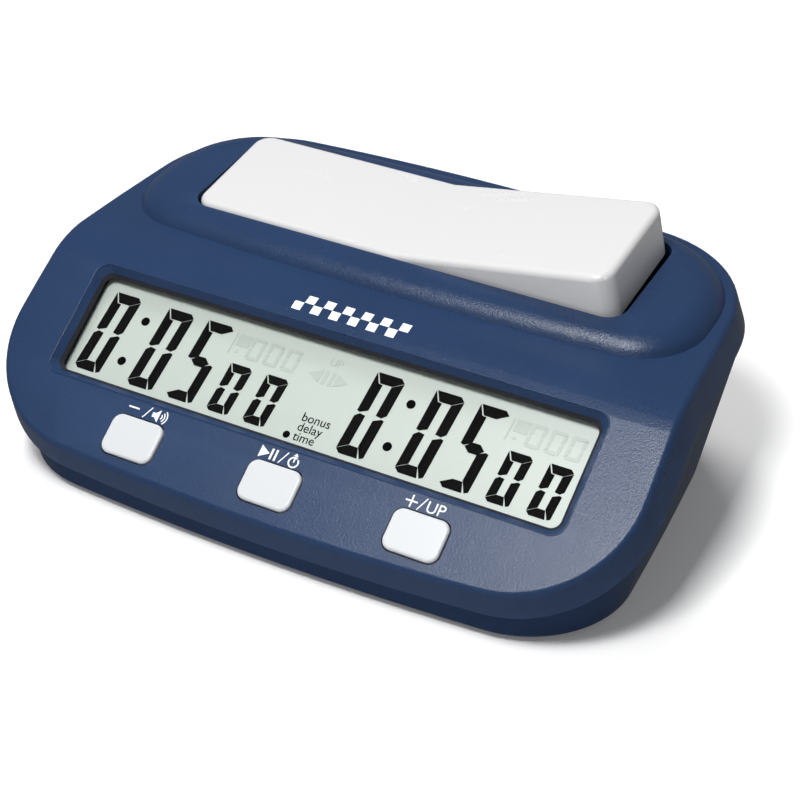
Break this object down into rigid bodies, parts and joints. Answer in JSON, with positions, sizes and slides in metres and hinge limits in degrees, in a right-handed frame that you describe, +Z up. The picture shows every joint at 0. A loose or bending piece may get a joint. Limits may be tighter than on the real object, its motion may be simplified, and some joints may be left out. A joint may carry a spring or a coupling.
{
  "type": "chess clock",
  "caption": "Digital chess clock: sloped display panel with keys, level top with a two-ended rocker that passes the turn, wedge-shaped base with a battery bay.",
  "frame": {"origin": "centre of the object's footprint box, on the surface that its rubber feet stand on", "axes": "+X to the player's right along the display, +Y from the display side to the back, +Z up"},
  "size_m": [0.15, 0.1023, 0.0566],
  "materials": {
    "casing_top": "fine-textured satin navy moulding",
    "casing_base": "fine-textured navy moulding, slightly duller than the top",
    "lever_white": "satin white moulding",
    "key_white": "satin white moulding",
    "lens_clear": "clear polished acrylic",
    "display_cell": "pale grey-green liquid crystal cell with dark segments",
    "display_backing": "matt reflective film",
    "dark_moulding": "matt black moulding",
    "key_plunger": "matt black moulding",
    "switch_thumb": "matt black moulding with ribs",
    "board_green": "solder-masked laminate",
    "conductive_rubber": "striped silicone",
    "rubber_feet": "matt rubber",
    "bright_steel": "zinc-plated steel",
    "plated_contact": "nickel-plated spring steel",
    "magnet_plating": "nickel-plated magnet",
    "cell_jacket": "printed sleeve over a metal can",
    "lead_red": "soft insulation",
    "lead_black": "soft insulation"
  },
  "bodies": {
    "case": {"battery_cell": "cell_jacket", "battery_contact_plate": "plated_contact", "battery_contact_spring": "plated_contact", "board_screws": "bright_steel", "bottom_shell": "casing_base", "case_screws": "bright_steel", "clock_crystal": "bright_steel", "contact_strip_lower": "conductive_rubber", "contact_strip_upper": "conductive_rubber", "controller_chip": "dark_moulding", "display_frame": "dark_moulding", "display_glass": "display_cell", "display_lens": "lens_clear", "display_reflector": "display_backing", "foot_front_left": "rubber_feet", "foot_front_right": "rubber_feet", "foot_rear_left": "rubber_feet", "foot_rear_right": "rubber_feet", "key_switch_left": "dark_moulding", "key_switch_middle": "dark_moulding", "key_switch_right": "dark_moulding", "latch_plate_left": "bright_steel", "latch_plate_right": "bright_steel", "lead_negative": "lead_black", "lead_positive": "lead_red", "main_board": "board_green", "pin_clips": "bright_steel", "power_switch_body": "dark_moulding", "rocker_pin": "bright_steel", "rocker_sensor_left": "dark_moulding", "rocker_sensor_right": "dark_moulding", "sensor_board": "board_green", "sounder": "dark_moulding", "top_shell": "casing_top"},
    "rocker": {"rocker_lever": "lever_white", "rocker_magnet_left": "magnet_plating", "rocker_magnet_right": "magnet_plating"},
    "left_key": {"button_left": "key_white", "key_plunger_left": "key_plunger"},
    "middle_key": {"button_middle": "key_white", "key_plunger_middle": "key_plunger"},
    "right_key": {"button_right": "key_white", "key_plunger_right": "key_plunger"},
    "battery_door": {"battery_cover": "casing_base"},
    "power_slider": {"power_switch_knob": "switch_thumb"}
  },
  "joints": [
    {"name": "rocker_tilt", "type": "hinge", "parent": "case", "child": "rocker", "pos_m": [0, 0.0218, 0.03769], "axis": [0, 0.9903, 0.1392], "range_deg": [0, 10.4]},
    {"name": "left_key_press", "type": "slide", "parent": "case", "child": "left_key", "axis": [0, 0.5592, -0.829], "range_m": [0, 0.0006], "stiffness_N_per_m": 2500, "springref_m": -0.0002},
    {"name": "middle_key_press", "type": "slide", "parent": "case", "child": "middle_key", "axis": [0, 0.5592, -0.829], "range_m": [0, 0.0006], "stiffness_N_per_m": 2500, "springref_m": -0.0002},
    {"name": "right_key_press", "type": "slide", "parent": "case", "child": "right_key", "axis": [0, 0.5592, -0.829], "range_m": [0, 0.0006], "stiffness_N_per_m": 2500, "springref_m": -0.0002},
    {"name": "battery_door_slide", "type": "slide", "parent": "case", "child": "battery_door", "axis": [0, 1, 0], "range_m": [0, 0.008]},
    {"name": "power_switch_slide", "type": "slide", "parent": "case", "child": "power_slider", "axis": [1, 0, 0], "range_m": [0, 0.0038]}
  ]
}
